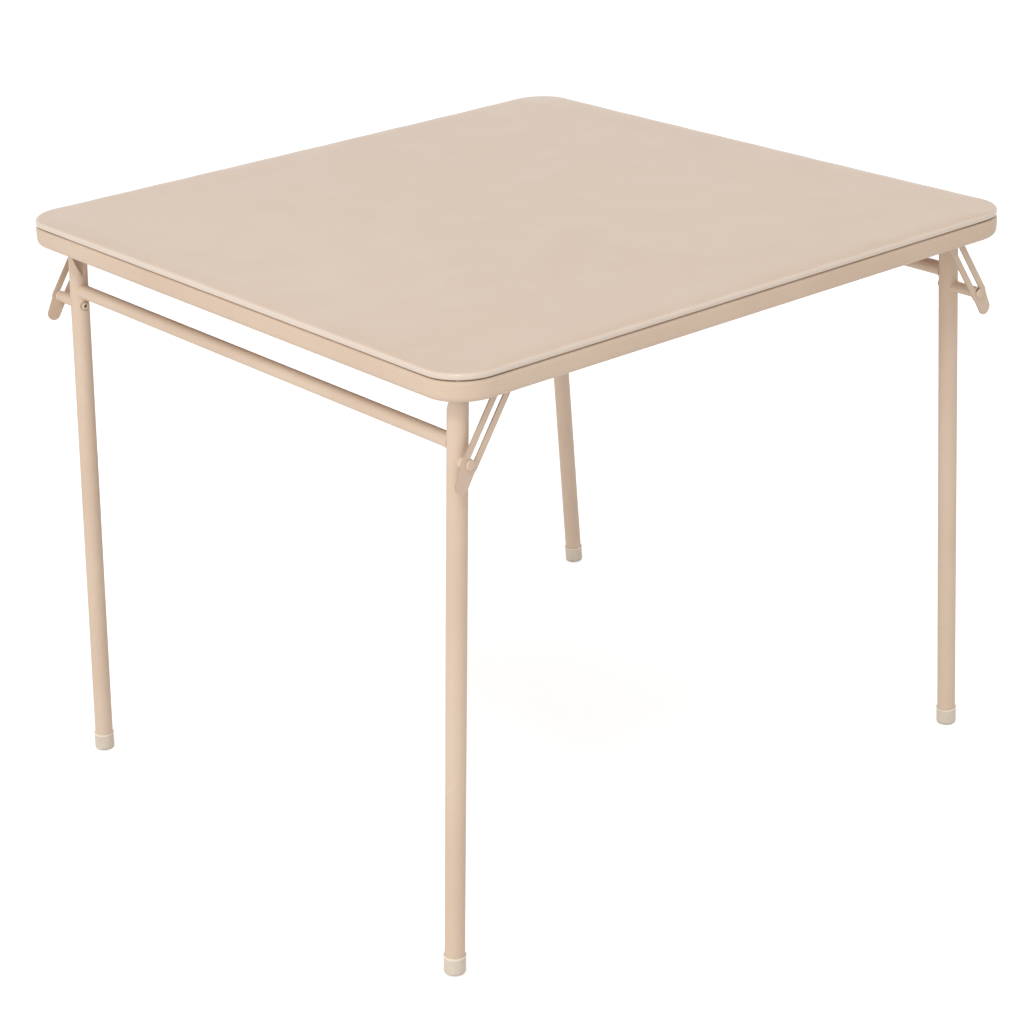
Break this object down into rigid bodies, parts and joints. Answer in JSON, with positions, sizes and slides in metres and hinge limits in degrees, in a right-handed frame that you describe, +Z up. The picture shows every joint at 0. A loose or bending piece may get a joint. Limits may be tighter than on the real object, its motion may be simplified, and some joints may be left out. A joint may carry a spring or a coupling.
{
  "type": "folding card table",
  "caption": "Square folding card table with a padded vinyl top, a steel apron, and tubular leg pairs that fold under it on slotted locking braces.",
  "frame": {"origin": "on the floor, under the middle of the table top, with the legs open", "axes": "+Z up; X and Y along the table's edges; each leg pair's hinge axis runs along Y, one pair at -X and one at +X"},
  "size_m": [0.8962, 0.8636, 0.724],
  "materials": {
    "vinyl": "padded buff vinyl with a fine pressed grain",
    "foam": "open-cell foam",
    "hardboard": "smooth brown hardboard",
    "buff_steel": "buff powder coat, satin",
    "foot_cap": "moulded cream plastic",
    "zinc_screws": "zinc plate",
    "staples": "galvanised wire"
  },
  "bodies": {
    "table_top": {"top_board": "hardboard", "foam_pad": "foam", "vinyl_cover": "vinyl", "hem_staples": "staples", "apron_frame": "buff_steel", "apron_screws": "zinc_screws", "bracket_screws": "zinc_screws", "leg_pivot_rivets": "buff_steel", "brace_pivot_rivets": "buff_steel", "leg_bracket_front": "buff_steel", "leg_bracket_left": "buff_steel", "leg_bracket_right": "buff_steel", "leg_bracket_rear": "buff_steel", "brace_bracket_front": "buff_steel", "brace_bracket_left": "buff_steel", "brace_bracket_right": "buff_steel", "brace_bracket_rear": "buff_steel"},
    "left_legs": {"crossbar_left": "buff_steel", "leg_front": "buff_steel", "spacer_front": "buff_steel", "lock_rivet_front": "buff_steel", "foot_cap_front": "foot_cap", "leg_left": "buff_steel", "spacer_left": "buff_steel", "lock_rivet_left": "buff_steel", "foot_cap_left": "foot_cap"},
    "right_legs": {"crossbar_right": "buff_steel", "leg_right": "buff_steel", "spacer_right": "buff_steel", "lock_rivet_right": "buff_steel", "foot_cap_right": "foot_cap", "leg_rear": "buff_steel", "spacer_rear": "buff_steel", "lock_rivet_rear": "buff_steel", "foot_cap_rear": "foot_cap"},
    "brace_front_body": {"brace_front": "buff_steel"},
    "lock_pin_front_body": {"lock_pin_front": "buff_steel"},
    "brace_left_body": {"brace_left": "buff_steel"},
    "lock_pin_left_body": {"lock_pin_left": "buff_steel"},
    "brace_right_body": {"brace_right": "buff_steel"},
    "lock_pin_right_body": {"lock_pin_right": "buff_steel"},
    "brace_rear_body": {"brace_rear": "buff_steel"},
    "lock_pin_rear_body": {"lock_pin_rear": "buff_steel"}
  },
  "joints": [
    {"name": "left_legs_fold", "type": "hinge", "parent": "table_top", "child": "left_legs", "pos_m": [-0.3953, 0, 0.697], "axis": [0, -1, 0], "range_deg": [0, 93.3]},
    {"name": "right_legs_fold", "type": "hinge", "parent": "table_top", "child": "right_legs", "pos_m": [0.3953, 0, 0.697], "axis": [0, 1, 0], "range_deg": [0, 93.3]},
    {"name": "brace_front_swing", "type": "hinge", "parent": "table_top", "child": "brace_front_body", "pos_m": [-0.3453, -0.4096, 0.697], "axis": [0, -1, 0], "range_deg": [0, 124.16]},
    {"name": "lock_pin_front_slide", "type": "slide", "parent": "brace_front_body", "child": "lock_pin_front_body", "axis": [0.56, 0, 0.8285], "range_m": [0, 0.06666]},
    {"name": "brace_left_swing", "type": "hinge", "parent": "table_top", "child": "brace_left_body", "pos_m": [-0.3453, 0.4096, 0.697], "axis": [0, -1, 0], "range_deg": [0, 124.16]},
    {"name": "lock_pin_left_slide", "type": "slide", "parent": "brace_left_body", "child": "lock_pin_left_body", "axis": [0.56, 0, 0.8285], "range_m": [0, 0.06666]},
    {"name": "brace_right_swing", "type": "hinge", "parent": "table_top", "child": "brace_right_body", "pos_m": [0.3453, -0.4096, 0.697], "axis": [0, 1, 0], "range_deg": [0, 124.16]},
    {"name": "lock_pin_right_slide", "type": "slide", "parent": "brace_right_body", "child": "lock_pin_right_body", "axis": [-0.56, 0, 0.8285], "range_m": [0, 0.06666]},
    {"name": "brace_rear_swing", "type": "hinge", "parent": "table_top", "child": "brace_rear_body", "pos_m": [0.3453, 0.4096, 0.697], "axis": [0, 1, 0], "range_deg": [0, 124.16]},
    {"name": "lock_pin_rear_slide", "type": "slide", "parent": "brace_rear_body", "child": "lock_pin_rear_body", "axis": [-0.56, 0, 0.8285], "range_m": [0, 0.06666]}
  ],
  "couplings": [
    {"joint": "brace_front_swing", "follows": "left_legs_fold", "ratio": 1.3297},
    {"joint": "lock_pin_front_slide", "follows": "left_legs_fold", "m_per_rad": 0.040904},
    {"joint": "brace_left_swing", "follows": "left_legs_fold", "ratio": 1.3297},
    {"joint": "lock_pin_left_slide", "follows": "left_legs_fold", "m_per_rad": 0.040904},
    {"joint": "brace_right_swing", "follows": "right_legs_fold", "ratio": 1.3297},
    {"joint": "lock_pin_right_slide", "follows": "right_legs_fold", "m_per_rad": 0.040904},
    {"joint": "brace_rear_swing", "follows": "right_legs_fold", "ratio": 1.3297},
    {"joint": "lock_pin_rear_slide", "follows": "right_legs_fold", "m_per_rad": 0.040904}
  ]
}
